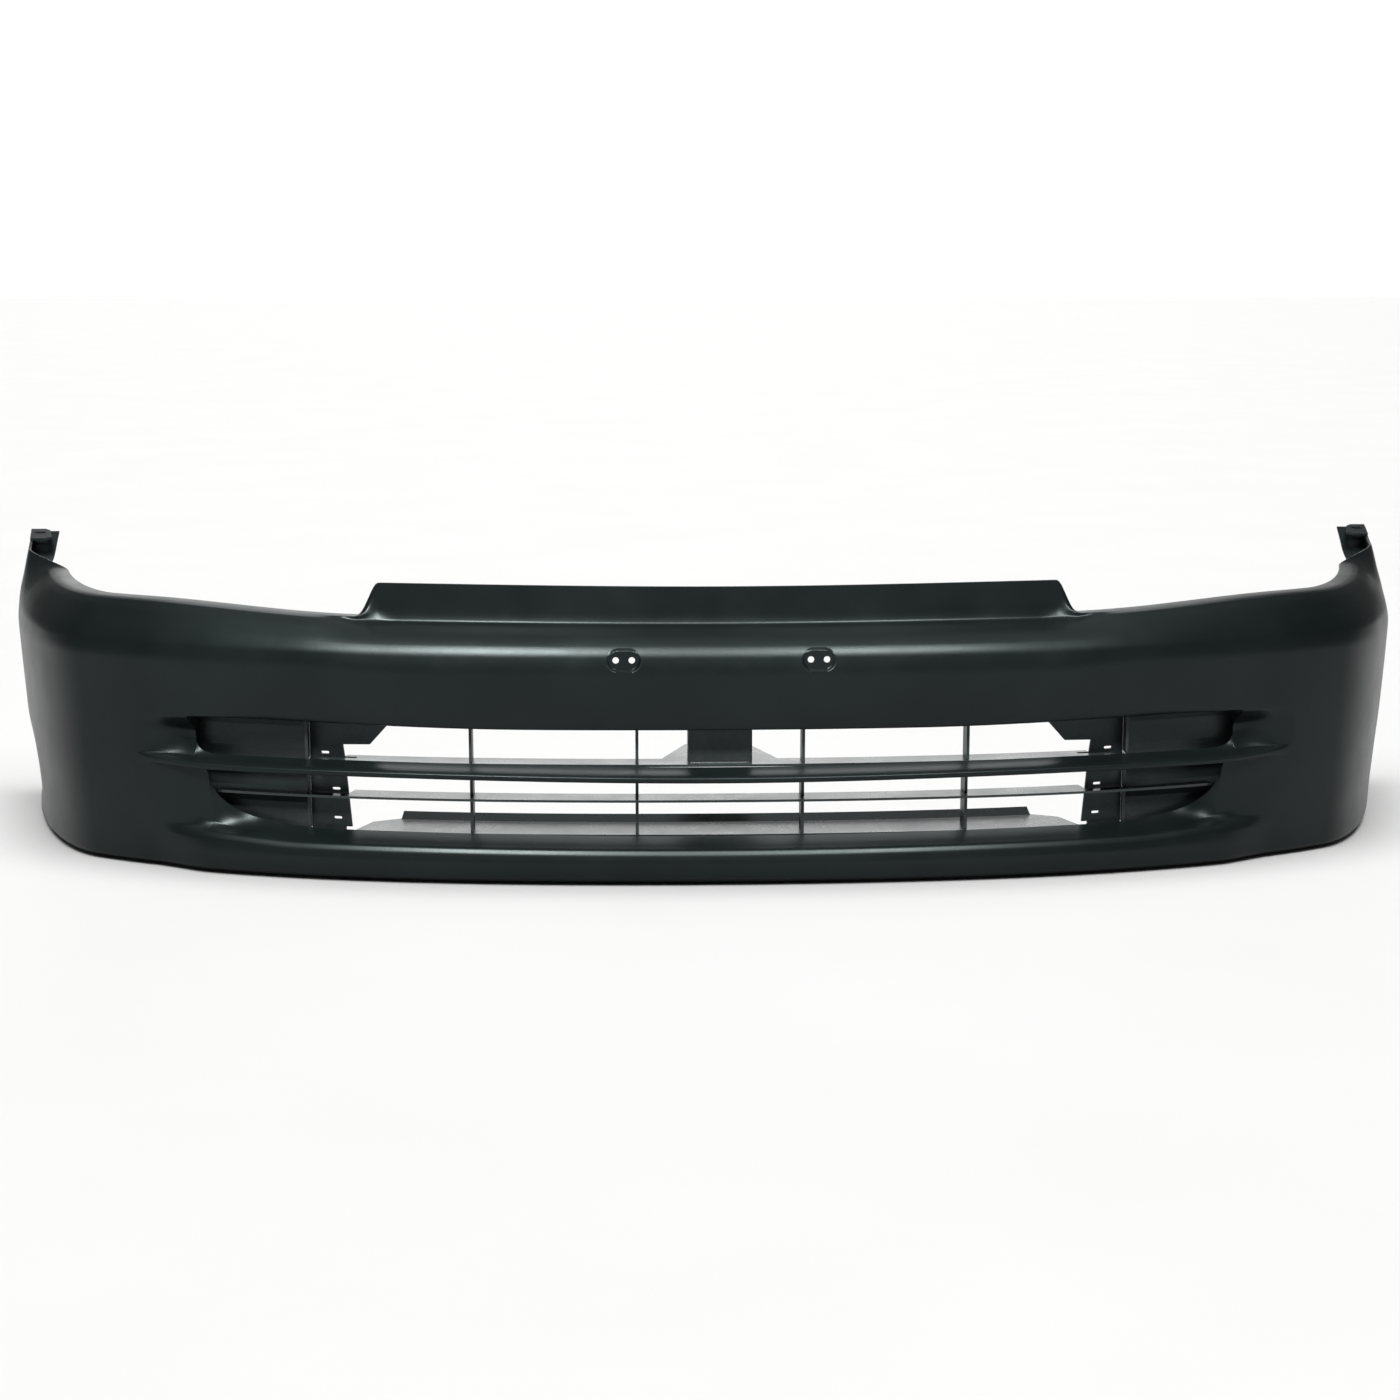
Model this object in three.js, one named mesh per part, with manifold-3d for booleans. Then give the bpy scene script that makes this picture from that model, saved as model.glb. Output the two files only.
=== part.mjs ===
// Front bumper cover of a compact car, in millimetres.
// +X is the car's left-to-right axis seen from the front, +Y runs rearwards and +Z is up.
// The cover stands on its flat bottom return flange at z = 0.
import * as THREE from "three";
import { mergeVertices } from "three/addons/utils/BufferGeometryUtils.js";
import Module from "manifold-3d";

const wasm = await Module();
wasm.setup();

// ---- driving dimensions ----
const WALL = 3; // moulded skin
const PLATE = 2.5; // grille blades and closing panels
const GAP = 0.4; // clearance between neighbouring pieces

// Belt line in plan, right half: one cubic for the nose and one for the flank.
const BELT = [
  [0, 0],
  [288, 0],
  [505, 37],
  [660, 129],
  [728, 169.4],
  [789, 355],
  [816, 566],
];

// Upper part of the section, top edge first, as [depth behind the belt line, height].
const FLANGE_ROWS = [
  [52, 297],
  [50.5, 284],
  [49, 271],
  [46.5, 260],
  [33, 256],
  [19, 250.5],
  [9.2, 243],
  [3, 232],
  [0, 214],
];
const SHELF_ROWS = [
  [51, 267],
  [46, 266.8],
  [39, 266.3],
  [32, 265],
  [24, 260.5],
  [16, 253.5],
  [8, 245],
  [2, 234],
  [0, 219],
];
const HORN_ROWS = [
  [12.5, 297],
  [11, 290],
  [9.5, 282],
  [8, 274],
  [6.5, 266],
  [4.5, 257],
  [2.5, 247],
  [1, 235],
  [0, 219],
];
const HORN_RANGE = [365, 490]; // the lamp shelf turns into the fender horn over this range
const HORN_DROP = 9; // the horn's top edge falls this much from the wheel arch forwards
const HORN_SLOPE = [490, 545]; // over this range
const HORN_HEIGHTS = [225, 275]; // the arch return widens over these heights
const FLANGE_CORNER = 353; // the centre flange starts to fall here
const FLANGE_FOOT = 376; // and meets the lamp shelf here
const FLANGE_BLEND = [333, 423]; // the lower rows change over this wider range
const FLANGE_RISE = [2, 0, 345]; // the flange's top edge climbs this much, over this range
const SHELF_RISE = 9.5; // the lamp shelf climbs this much towards the corner
const SHELF_RETREAT = 5; // and moves back by this much
const CORNER_RANGE = [365, 615];

const FACE_HEIGHTS = [198, 181, 168]; // rows of the front face below the belt
const FACE_DEPTHS = [2.5, 6.5, 10.5, 14.5]; // the last one is at the upper opening's top edge
const SIDE_RANGE = [450, 600]; // the face turns into the side panel over this range

// Heights that change along the belt line: a base and rises as [amount, from, to].
const UPPER_EDGE = { base: 157, rises: [[5, 200, 520]] }; // top edge of the upper opening
const BAR_RIDGE = {
  base: 110,
  rises: [
    [3.5, 0, 400],
    [3.5, 525, 591],
  ],
}; // front ridge of the middle bar
const LIP_RIDGE = {
  base: 35,
  rises: [
    [1.5, 0, 400],
    [5, 430, 530],
  ],
}; // front ridge of the lip
const LIP_REAR = {
  base: 44,
  rises: [
    [2.5, 0, 400],
    [4, 400, 480],
  ],
}; // rear edge of the lip's top face

const UPPER_END = 546; // half width of the upper opening
const DISH_END = 606; // the recess beside the upper opening fades out here
const RETURN_REAR = 28; // the return along the upper opening ends at this depth
const BAR_TIP = 604;
const BAR_FRONT = [
  [18.5, 5.2],
  [8.5, 2.6],
  [3.2, 0],
  [4.2, -5],
]; // front of the middle bar, as [depth, height above its ridge]
const BAR_TOP = [7.5, 25]; // height above the ridge and depth of the bar's top face at its rear
const BAR_UNDER = [6.6, 16, 11]; // drop below the ridge, and depth at the middle and near the end
const BAR_SIDE = [430, 560]; // the bar's lower rows take up the side panel's lean over this range
const OPENING_ROUND = [38, 4]; // length and sharpness of the upper opening's round ends
const LOWER_ROUND = [101, 2.8]; // and of the lower opening's
const LOWER_END = 527.5; // half width of the lower opening
const LIP_FADE = [520, 592]; // beside the lower opening the lip runs out over this range
const LIP_SPREAD = [572, 655]; // and its rows spread over the side panel over this one
const LIP_DEPTH = 34; // depth of the lip's top face at its rear edge
const LIP_TOP = [
  [0.6, 21, 84, 15, 12],
  [0.3, 13, 70, 14, 4.5],
  [0.05, 7, 56, 8.5, 1],
]; // lip's top face, as [share of its slope, depth, height on the side panel] and, where no
// opening lies above it, [depth, rise]
const LIP_FILLET = [500, 555]; // it turns into that second form over this range
const LIP_FRONT = [
  [1.6, 23, 0],
  [4.2, 7.5, 1],
]; // lip's front face, as [depth, height, extra depth on the side panel]
const LIP_BROW = [3.4, 4, 43]; // depth, drop below the ridge, and height on the side panel
const FOOT_DEPTH = [10.5, 7]; // depth of the lower edge, and its extra depth on the side panel
const BOTTOM_RETURN = 26; // width of the flat bottom flange
const SIDE_LEAN = 13.5; // the side panel leans in by this at the bottom
const ARCH_INSET = 12; // and by this much more beside the wheel
const ARCH_RANGE = [365, 540];
const WAIST_INSET = 12; // and it has a waist above its flared lower edge
const WAIST_HEIGHTS = [8, 46, 54, 125]; // the waist grows and fades again over these heights
const WAIST_RANGE = [250, 470];
const BELT_HEIGHT = 219; // the side panel leans in below this height
const WHEEL_Y = 776;
const WHEEL_Z = 86;
const WHEEL_ARCH_RADIUS = 307;
const ARCH_START = 1.4; // flank station where columns begin to follow the wheel arch
const ARCH_FLANGE = 17; // inward return along the wheel arch
const HORN_FLANGE = 13; // and its extra width at the fender horn

const PAD_X = 97; // number plate pad
const PAD_Z = 230;
const PAD_HALF_LENGTH = 16;
const PAD_HALF_HEIGHT = 10.5;
const PAD_DEPTH = 3;
const PAD_BELT_DEPTH = 1.5; // the face lies this far behind the belt line at the pads
const PLATE_HOLES = [89, 105];
const PLATE_HOLE_RADIUS = 3.8;

const SHELF_FRONT = 29; // the upper shelf starts just behind the middle bar
const SHELF_REAR = 58;
const SHELF_Z = 117;
const SHELF_HALF = 379;
const SHELF_ARM = [416, 42.5]; // half width and rear depth of the arms in front of the closing panels
const SHELF_WING = [393, 49.5]; // half width and front depth of the wings behind those panels
const LEDGE_REAR = 134; // the centre ledge of the upper shelf reaches back to here
const LEDGE_HALF = [60, 33]; // its half width in front and at the back
const LOWER_SHELF_Z = 42.5;
const LOWER_SHELF_FRONT = 37;
const LOWER_SHELF_REAR = 96;
const LOWER_SHELF_HALF = [381, 372, 345]; // half width in front, at the chamfer and at the back
const LOWER_SHELF_CHAMFER = 78; // depth where the ends turn inwards
const UPTURN = [11, 7.5]; // depth and height of the lower shelf's upturned rear edge
const SLAT_Z = 80.5;
const SLAT_FRONT = 27;
const SLAT_REAR = 58;
const SLAT_END = 525;
const SLAT_STEP = 385.5; // beyond this half width the slat narrows to pass the panels
const SLAT_NARROW = 39;
const RIB_PITCH = 168.3;
const RIB_THICKNESS = 3;
const RIB_REAR = 68; // lower ribs reach behind the slat
const STAY_HALF = 32.5;
const STAY_FRONT = 38;
const STAY_REAR = 72;
const STAY_TOP = 205;
const CLOSING_JOINT = 419; // joint between the closing and pocket panels
const CLOSING_DEPTH = 45;
const CLOSING_OUTLINE = [
  [376, 47],
  [382.5, 47],
  [382.5, 38],
  [419, 38],
  [419, 176],
  [333, 176],
  [333, 158],
  [355, 134],
  [384, 133],
  [382, 118],
]; // as [x, height]
const CLOSING_SLOTS = [
  [392, 86.5],
  [391, 56],
  [403, 124],
];
const POCKET_START = 422.6; // just outside the outer ribs
const LOWER_POCKET_END = 549;
const UPPER_POCKET_END = 562;
const POCKET_STEPS = 7;
const UPPER_POCKET_LINE = [
  [43, 111],
  [41, 121],
  [38.5, 129],
  [37.5, 141],
  [37.5, 152],
  [39, 163],
  [43, 172],
]; // front of the upper pocket panel, as [depth, height]
const LOWER_POCKET_LINE = [
  [40, 39],
  [40.5, 60],
  [42, 71],
  [46, 78],
  [57, 83],
  [58.5, 95],
  [59, 112],
];
const PANEL_SLOT = [3, 1.4]; // half length between arc centres, and radius
const TAB_Y = [508, 551];
const TAB_CORNER = 7; // chamfer of its inner corners
const TAB_X = [779, 803];
const TAB_Z = [293.5, 300];
const TAB_SKEW = 8; // the tab's front end stands this much further in

// ---- small maths ----
const mix = (a, b, t) => a + (b - a) * t;

function ease(from, to, value) {
  const t = Math.min(1, Math.max(0, (value - from) / (to - from)));
  return t * t * (3 - 2 * t);
}

// Half height of a rounded opening end: 1 inside, falling to 0 at the end.
function roundEnd(start, end, power, x) {
  if (x > end - 0.01) return 0;
  const t = Math.max(0, (x - start) / (end - start));
  return Math.pow(1 - Math.pow(t, power), 1 / power);
}

// Where the columns of a rounded end stand, so that its outline is evenly stepped.
function roundStations(start, end, power, count) {
  return Array.from({ length: count }, (_, i) => {
    const angle = ((i + 1) / count) * (Math.PI / 2);
    return mix(start, end, Math.pow(Math.sin(angle), 2 / power));
  });
}

function bisect(f, target) {
  let low = 0;
  let high = 1;
  for (let i = 0; i < 40; i++) {
    const middle = (low + high) / 2;
    if (f(middle) < target) low = middle;
    else high = middle;
  }
  return (low + high) / 2;
}

// ---- plan ----
const [NOSE, FLANK] = [BELT.slice(0, 4), BELT.slice(3)].map(
  (points) => new THREE.CubicBezierCurve(...points.map(([x, y]) => new THREE.Vector2(x, y))),
);

// Station 0 is the centre, 1 the corner and 2 the rear end; negative ones are on the left.
function beltAt(station) {
  const side = station < 0 ? -1 : 1;
  const t = Math.abs(station);
  const curve = t <= 1 ? NOSE : FLANK;
  const at = t <= 1 ? t : t - 1;
  const point = curve.getPoint(at);
  const along = curve.getTangent(at);
  return { x: side * point.x, y: point.y, inX: -side * along.y, inY: along.x };
}

const stationAcross = (x) => bisect((t) => NOSE.getPoint(t).x, x);
const stationBack = (y) => 1 + bisect((t) => FLANK.getPoint(t).y, y);

function surfacePoint(station, depth, z) {
  const belt = beltAt(station);
  return new THREE.Vector3(belt.x + belt.inX * depth, belt.y + belt.inY * depth, z);
}

function archY(z) {
  return WHEEL_Y - Math.sqrt(WHEEL_ARCH_RADIUS ** 2 - (z - WHEEL_Z) ** 2);
}

// ---- section of the skin ----
const heightAt = ({ base, rises }, x) =>
  rises.reduce((height, [rise, from, to]) => height + rise * ease(from, to, x), base);

function topRows(x, y) {
  const corner = ease(...CORNER_RANGE, x);
  const horn = ease(...HORN_RANGE, y);
  const [flangeRise, ...riseRange] = FLANGE_RISE;
  const last = SHELF_ROWS.length - 1;
  return SHELF_ROWS.map(([shelfDepth, shelfZ], i) => {
    const low = 1 - i / last;
    const flange = 1 - ease(...(i < 3 ? [FLANGE_CORNER, FLANGE_FOOT] : FLANGE_BLEND), x);
    const climb = SHELF_RISE * corner * (1 - ease(3, last, i));
    const depth = mix(shelfDepth + SHELF_RETREAT * corner * low, FLANGE_ROWS[i][0], flange);
    const flangeZ = FLANGE_ROWS[i][1] + flangeRise * ease(...riseRange, x) * low;
    const z = mix(shelfZ + climb, flangeZ, flange);
    const hornZ = HORN_ROWS[i][1] - HORN_DROP * (1 - ease(...HORN_SLOPE, y)) * low;
    return [mix(depth, HORN_ROWS[i][0], horn), mix(z, hornZ, horn)];
  });
}

function sideDepth(y, z) {
  const lean = Math.max(0, (BELT_HEIGHT - z) / BELT_HEIGHT);
  const [low, full, high, top] = WAIST_HEIGHTS;
  const waist = ease(low, full, z) * (1 - ease(high, top, z)) * ease(...WAIST_RANGE, y);
  const arch = ARCH_INSET * lean * ease(...ARCH_RANGE, y);
  return SIDE_LEAN * Math.pow(lean, 1.2) + arch + WAIST_INSET * waist;
}

function faceRows(x, y) {
  const side = ease(...SIDE_RANGE, x);
  const heights = [...FACE_HEIGHTS, heightAt(UPPER_EDGE, x)];
  return heights.map((z, i) => [mix(FACE_DEPTHS[i], sideDepth(y, z), side), z]);
}

// Middle bar, from the upper opening's lower outline to the lower opening's upper outline.
function barRows(x, y) {
  const edge = heightAt(UPPER_EDGE, x);
  const ridge = heightAt(BAR_RIDGE, x);
  const plain = (z) => sideDepth(y, z) * ease(...BAR_SIDE, x);
  const past = ease(UPPER_END + 6, DISH_END, x);
  const [round, power] = OPENING_ROUND;
  const open = roundEnd(UPPER_END - round, UPPER_END, power, x);
  const [topRise, topDepth] = BAR_TOP;
  const [drop, middleDepth, endDepth] = BAR_UNDER;
  const middle = (edge + ridge + topRise) / 2;
  const dish = mix(topDepth, plain(middle), past);
  const underDepth = mix(middleDepth, endDepth, ease(450, LOWER_END, x));
  const under = mix(underDepth, plain(ridge - drop), ease(LOWER_END, BAR_TIP, x));
  return [
    [mix(dish, RETURN_REAR, open), mix(edge + 0.8, middle, 1 - open)],
    [dish, mix(ridge + topRise, middle, 1 - open)],
    ...BAR_FRONT.map(([depth, rise]) => [mix(depth, plain(ridge + rise), past), ridge + rise]),
    [under, ridge - drop],
  ];
}

// Lip, from the lower opening's lower outline to the inner edge of the bottom flange.
function lipRows(x, y) {
  const [round, power] = LOWER_ROUND;
  const open = roundEnd(LOWER_END - round, LOWER_END, power, x);
  const [under, tip] = barRows(x, y).at(-1);
  const rear = heightAt(LIP_REAR, x);
  const ridge = heightAt(LIP_RIDGE, x);
  const past = ease(...LIP_FADE, x);
  const spread = ease(...LIP_SPREAD, x);
  const fillet = ease(...LIP_FILLET, x);
  const plain = (z) => sideDepth(y, z);
  const row = (depth, z, sideZ, extra = 0) => {
    const height = mix(z, sideZ, spread);
    return [mix(depth, plain(height) + extra, past), height];
  };
  const [browDepth, browDrop, browSide] = LIP_BROW;
  const foot = mix(FOOT_DEPTH[0], plain(0) + FOOT_DEPTH[1], past);
  return [
    [mix(under, LIP_DEPTH, open), mix(tip, rear, open)],
    ...LIP_TOP.map(([share, depth, sideZ, closedDepth, rise]) => {
      const z = mix(ridge, rear, share) + rise * fillet;
      return row(mix(depth, closedDepth, fillet), z, sideZ);
    }),
    row(browDepth, ridge - browDrop, browSide),
    ...LIP_FRONT.map(([depth, z, extra]) => row(depth, z, z, extra)),
    [foot, 0],
    [foot + BOTTOM_RETURN, 0],
  ];
}

// All rows of the section at one station, as [depth, height]; the two openings lie
// between rows UPPER_GAP, UPPER_GAP + 1 and rows LOWER_GAP, LOWER_GAP + 1.
function sectionRows(x, y) {
  return [...topRows(x, y), ...faceRows(x, y), ...barRows(x, y), ...lipRows(x, y)];
}
const UPPER_GAP = SHELF_ROWS.length + FACE_HEIGHTS.length + 1;
const LOWER_GAP = UPPER_GAP + 6;

// ---- columns of the skin ----
function rightStations() {
  const across = [
    ...[0, 58, 116, 174, 232, 290, 330, FLANGE_CORNER, 359, 364.5, 370, FLANGE_FOOT],
    ...[400, 422, 460],
    ...roundStations(LOWER_END - LOWER_ROUND[0], LOWER_END, LOWER_ROUND[1], 5),
    ...roundStations(UPPER_END - OPENING_ROUND[0], UPPER_END, OPENING_ROUND[1], 5),
    ...[552, 565, 578, 591, BAR_TIP, 622, 640],
  ];
  const sorted = [...new Set(across)].sort((a, b) => a - b);
  const flank = Array.from({ length: 10 }, (_, i) => 1 + i / 9);
  return [...sorted.map(stationAcross), ...flank];
}

function columnPoints(station, inset) {
  const belt = beltAt(station);
  const side = station < 0 ? -1 : 1;
  return sectionRows(Math.abs(belt.x), belt.y).map(([depth, z]) => {
    const reach = stationBack(archY(z));
    const t = Math.abs(station);
    const follow = Math.max(0, (t - ARCH_START) / (2 - ARCH_START));
    const turned = mix(t, mix(ARCH_START, reach, follow), t > ARCH_START ? 1 : 0);
    const horn = ease(...HORN_HEIGHTS, z);
    return surfacePoint(side * turned, depth + inset * (ARCH_FLANGE + HORN_FLANGE * horn), z);
  });
}

function skinColumns() {
  const right = rightStations().map((s) => columnPoints(s, 0));
  right.push(columnPoints(2, 1));
  const mirrored = right.slice(1).map((column) => column.map((p) => new THREE.Vector3(-p.x, p.y, p.z)));
  return [...mirrored.reverse(), ...right];
}

// ---- sheet to closed shell ----
function triangleNormal(a, b, c) {
  return new THREE.Vector3().crossVectors(b.clone().sub(a), c.clone().sub(a));
}

// Outer faces of a grid of points, with coinciding points shared and empty faces left out.
function sheetFaces(columns, keep) {
  const points = [];
  const known = new Map();
  const id = (p) => {
    const key = p.toArray().map((v) => v.toFixed(3)).join();
    if (!known.has(key)) known.set(key, points.push(p) - 1);
    return known.get(key);
  };
  const faces = [];
  for (let c = 0; c + 1 < columns.length; c++) {
    for (let r = 0; r + 1 < columns[c].length; r++) {
      if (!keep(c, r)) continue;
      const corners = [columns[c][r], columns[c][r + 1], columns[c + 1][r + 1], columns[c + 1][r]];
      const [a, b, d, e] = corners.map(id);
      for (const face of [[a, b, d], [a, d, e]]) {
        if (new Set(face).size === 3) faces.push(face);
      }
    }
  }
  return { points, faces };
}

// A closed shell: the sheet, its copy moved inwards by the wall, and walls along every free edge.
function thicken({ points, faces }, wall) {
  const normals = points.map(() => new THREE.Vector3());
  for (const face of faces) {
    const normal = triangleNormal(...face.map((i) => points[i])).normalize();
    face.forEach((i) => normals[i].add(normal));
  }
  const floor = new THREE.Vector3(-Infinity, -Infinity, 0);
  const inner = points.map((point, i) => {
    const normal = normals[i].normalize();
    return point.clone().addScaledVector(normal, -wall).max(floor);
  });
  const shift = points.length;
  const edges = new Set();
  faces.forEach(([a, b, c]) => [[a, b], [b, c], [c, a]].forEach(([s, e]) => edges.add(s + ">" + e)));
  const all = [...faces, ...faces.map(([a, b, c]) => [a + shift, c + shift, b + shift])];
  for (const edge of edges) {
    const [s, e] = edge.split(">").map(Number);
    if (!edges.has(e + ">" + s)) all.push([e, s, s + shift], [e, s + shift, e + shift]);
  }
  return fromFaces([...points, ...inner], all);
}

function fromFaces(points, faces) {
  const geometry = new THREE.BufferGeometry().setFromPoints(points);
  geometry.setIndex(faces.flat());
  geometry.computeVertexNormals();
  return geometry;
}

// ---- booleans ----
function toSolid(geometry) {
  const bare = geometry.clone();
  bare.deleteAttribute("normal");
  bare.deleteAttribute("uv");
  const merged = mergeVertices(bare, 1e-4);
  return new wasm.Manifold(
    new wasm.Mesh({
      numProp: 3,
      vertProperties: merged.attributes.position.array,
      triVerts: new Uint32Array(merged.index.array),
    }),
  );
}

function toGeometry(solid) {
  const { vertProperties, triVerts } = solid.getMesh();
  const geometry = new THREE.BufferGeometry();
  geometry.setAttribute("position", new THREE.BufferAttribute(vertProperties, 3));
  geometry.setIndex(new THREE.BufferAttribute(triVerts, 1));
  geometry.computeVertexNormals();
  return geometry;
}

// ---- outlines and plates ----
function extrude(shape, depth) {
  return new THREE.ExtrudeGeometry(shape, { depth, bevelEnabled: false, curveSegments: 6 });
}

// A plate standing in the x-z plane, its front face at y.
function standingPlate(shape, y, thickness) {
  return extrude(shape, thickness).rotateX(Math.PI / 2).translate(0, y + thickness, 0);
}

// A plate lying in the x-y plane, its lower face at z.
function lyingPlate(shape, z, thickness) {
  return extrude(shape, thickness).translate(0, 0, z);
}

const outline = (points) => new THREE.Shape(points.map(([x, y]) => new THREE.Vector2(x, y)));

function slotHole(x, y, halfLength, radius) {
  const path = new THREE.Path();
  path.absarc(x - halfLength, y, radius, Math.PI / 2, (3 * Math.PI) / 2, false);
  path.absarc(x + halfLength, y, radius, -Math.PI / 2, Math.PI / 2, false);
  return path;
}

function slotShape(x, y, halfLength, radius) {
  return new THREE.Shape(slotHole(x, y, halfLength, radius).getPoints(5));
}

const stationAt = (x) => Math.sign(x) * stationAcross(Math.abs(x));

function along(from, to, steps) {
  return Array.from({ length: steps + 1 }, (_, i) => mix(from, to, i / Math.max(1, steps)));
}

// Plan points at one depth behind the belt line, from one belt x to another.
function beltLine(from, to, depth, steps) {
  return along(from, to, steps).map((x) => {
    const point = surfacePoint(stationAt(x), depth, 0);
    return [point.x, point.y];
  });
}

// The y that lies at a depth behind the belt line at a given x.
function yBehind(x, depth) {
  const station = bisect((t) => surfacePoint(t, depth, 0).x, Math.abs(x));
  return surfacePoint(station, depth, 0).y;
}

const squareToBelt = (x, depth, z) => surfacePoint(stationAt(x), depth, z);
const squareToCar = (x, depth, z) => new THREE.Vector3(x, yBehind(x, depth), z);

// A closed solid: a profile of [depth, height] points carried along the belt line.
function beltSweep(xs, profileAt, placePoint = squareToBelt) {
  const points = xs.flatMap((x) => profileAt(x).map(([depth, z]) => placePoint(x, depth, z)));
  const profile = profileAt(xs[0]);
  const count = profile.length;
  const lastRing = count * (xs.length - 1);
  const faces = [];
  for (let i = 0; i < lastRing; i++) {
    const next = i % count === count - 1 ? i + 1 - count : i + 1;
    faces.push([i, next, next + count], [i, next + count, i + count]);
  }
  const cap = THREE.ShapeUtils.triangulateShape(profile.map(([d, z]) => new THREE.Vector2(d, z)), []);
  for (const [a, b, c] of cap) faces.push([c, b, a], [a + lastRing, b + lastRing, c + lastRing]);
  return fromFaces(points, faces);
}

// A sheet profile: a line of [depth, height] points from low to high, and its copy set back.
function sheetProfile(line, thickness) {
  return [...line.map(([depth, z]) => [depth + thickness, z]), ...line.slice().reverse()];
}

// ---- skin ----
const padFace = () => beltAt(stationAcross(PAD_X)).y + PAD_BELT_DEPTH;

function plateHoleCutters() {
  const cutters = [];
  for (const side of [-1, 1]) {
    const recess = slotShape(side * PAD_X, PAD_Z, PAD_HALF_LENGTH - PAD_HALF_HEIGHT, PAD_HALF_HEIGHT);
    cutters.push(standingPlate(recess, padFace() - 10, 10 + PAD_DEPTH));
    for (const x of PLATE_HOLES) {
      const hole = new THREE.CylinderGeometry(PLATE_HOLE_RADIUS, PLATE_HOLE_RADIUS, 30, 12);
      cutters.push(hole.translate(side * x, 5, PAD_Z));
    }
  }
  return cutters;
}

function plateBosses() {
  return [-1, 1].map((side) => {
    const halfLength = PAD_HALF_LENGTH - PAD_HALF_HEIGHT;
    const shape = slotShape(side * PAD_X, PAD_Z, halfLength, PAD_HALF_HEIGHT + 2);
    return standingPlate(shape, padFace() + WALL / 2, PAD_DEPTH + WALL / 2);
  });
}

function coverSkin() {
  const columns = skinColumns();
  const last = columns.length - 2;
  const bottom = columns[0].length - 2;
  const keep = (c, r) => {
    const archColumn = c === 0 || c === last;
    return !(archColumn && r === bottom);
  };
  const gapRow = (r) => r === UPPER_GAP || r === LOWER_GAP;
  let solid = toSolid(thicken(sheetFaces(columns, (c, r) => keep(c, r) && !gapRow(r)), WALL));
  for (const boss of plateBosses()) solid = solid.add(toSolid(boss));
  for (const cutter of plateHoleCutters()) solid = solid.subtract(toSolid(cutter));
  return toGeometry(solid);
}

// ---- grille ----
function upperShelf() {
  const [wide, narrow] = LEDGE_HALF;
  const [arm, armRear] = SHELF_ARM;
  const [wing, wingFront] = SHELF_WING;
  const shape = outline([
    ...beltLine(-arm, arm, SHELF_FRONT, 22),
    ...beltLine(arm, SHELF_HALF, armRear, 2),
    ...beltLine(SHELF_HALF, wing, wingFront, 1),
    ...beltLine(wing, wide, SHELF_REAR, 8),
    [narrow, LEDGE_REAR],
    [-narrow, LEDGE_REAR],
    ...beltLine(-wide, -wing, SHELF_REAR, 8),
    ...beltLine(-wing, -SHELF_HALF, wingFront, 1),
    ...beltLine(-SHELF_HALF, -arm, armRear, 2),
  ]);
  return lyingPlate(shape, SHELF_Z, PLATE);
}

function lowerShelf() {
  const [wide, chamfer, narrow] = LOWER_SHELF_HALF;
  const top = LOWER_SHELF_Z + PLATE;
  const [back, up] = UPTURN;
  const plate = lyingPlate(
    outline([
      ...beltLine(-wide, wide, LOWER_SHELF_FRONT, 20),
      ...beltLine(chamfer, chamfer, LOWER_SHELF_CHAMFER, 0),
      ...beltLine(narrow, -narrow, LOWER_SHELF_REAR, 20),
      ...beltLine(-chamfer, -chamfer, LOWER_SHELF_CHAMFER, 0),
    ]),
    LOWER_SHELF_Z,
    PLATE,
  );
  const upturn = beltSweep(along(-narrow, narrow, 20), () => [
    [LOWER_SHELF_REAR - 3, LOWER_SHELF_Z],
    [LOWER_SHELF_REAR, LOWER_SHELF_Z],
    [LOWER_SHELF_REAR + back, LOWER_SHELF_Z + up],
    [LOWER_SHELF_REAR + back - PLATE, LOWER_SHELF_Z + up + PLATE / 2],
    [LOWER_SHELF_REAR - 3, top],
  ]);
  return toGeometry(toSolid(plate).add(toSolid(upturn)));
}

function slat() {
  const steps = [
    ...along(-SLAT_END, -SLAT_STEP - 1, 5),
    ...along(-SLAT_STEP, SLAT_STEP, 20),
    ...along(SLAT_STEP + 1, SLAT_END, 5),
  ];
  return beltSweep(steps, (x) => {
    const rear = Math.abs(x) > SLAT_STEP ? SLAT_NARROW : SLAT_REAR;
    return [
      [SLAT_FRONT, SLAT_Z],
      [rear, SLAT_Z],
      [rear, SLAT_Z + PLATE],
      [SLAT_FRONT, SLAT_Z + PLATE],
    ];
  });
}

// A rib is drawn as an outline of [y, z] points and stands across x.
function ribPlate(x, points) {
  const plate = extrude(outline(points), RIB_THICKNESS);
  return plate.rotateX(Math.PI / 2).rotateZ(Math.PI / 2).translate(x - RIB_THICKNESS / 2, 0, 0);
}

function upperRib(x) {
  const front = yBehind(x, SHELF_FRONT + 1);
  const rear = yBehind(x, SHELF_REAR - 1);
  const low = SHELF_Z + PLATE + GAP;
  const high = heightAt(UPPER_EDGE, Math.abs(x)) - GAP;
  return ribPlate(x, [[front, low], [rear, low], [rear, high], [front, high]]);
}

function lowerRib(x) {
  const front = yBehind(x, LOWER_SHELF_FRONT + 1);
  const rear = yBehind(x, RIB_REAR);
  const notch = yBehind(x, SLAT_REAR + GAP);
  const low = LOWER_SHELF_Z + PLATE + GAP;
  const high = SHELF_Z - GAP;
  return ribPlate(x, [
    [front, low],
    [rear, low],
    [rear, high],
    [front, high],
    [front, SLAT_Z + PLATE + GAP],
    [notch, SLAT_Z + PLATE + GAP],
    [notch, SLAT_Z - GAP],
    [front, SLAT_Z - GAP],
  ]);
}

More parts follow.
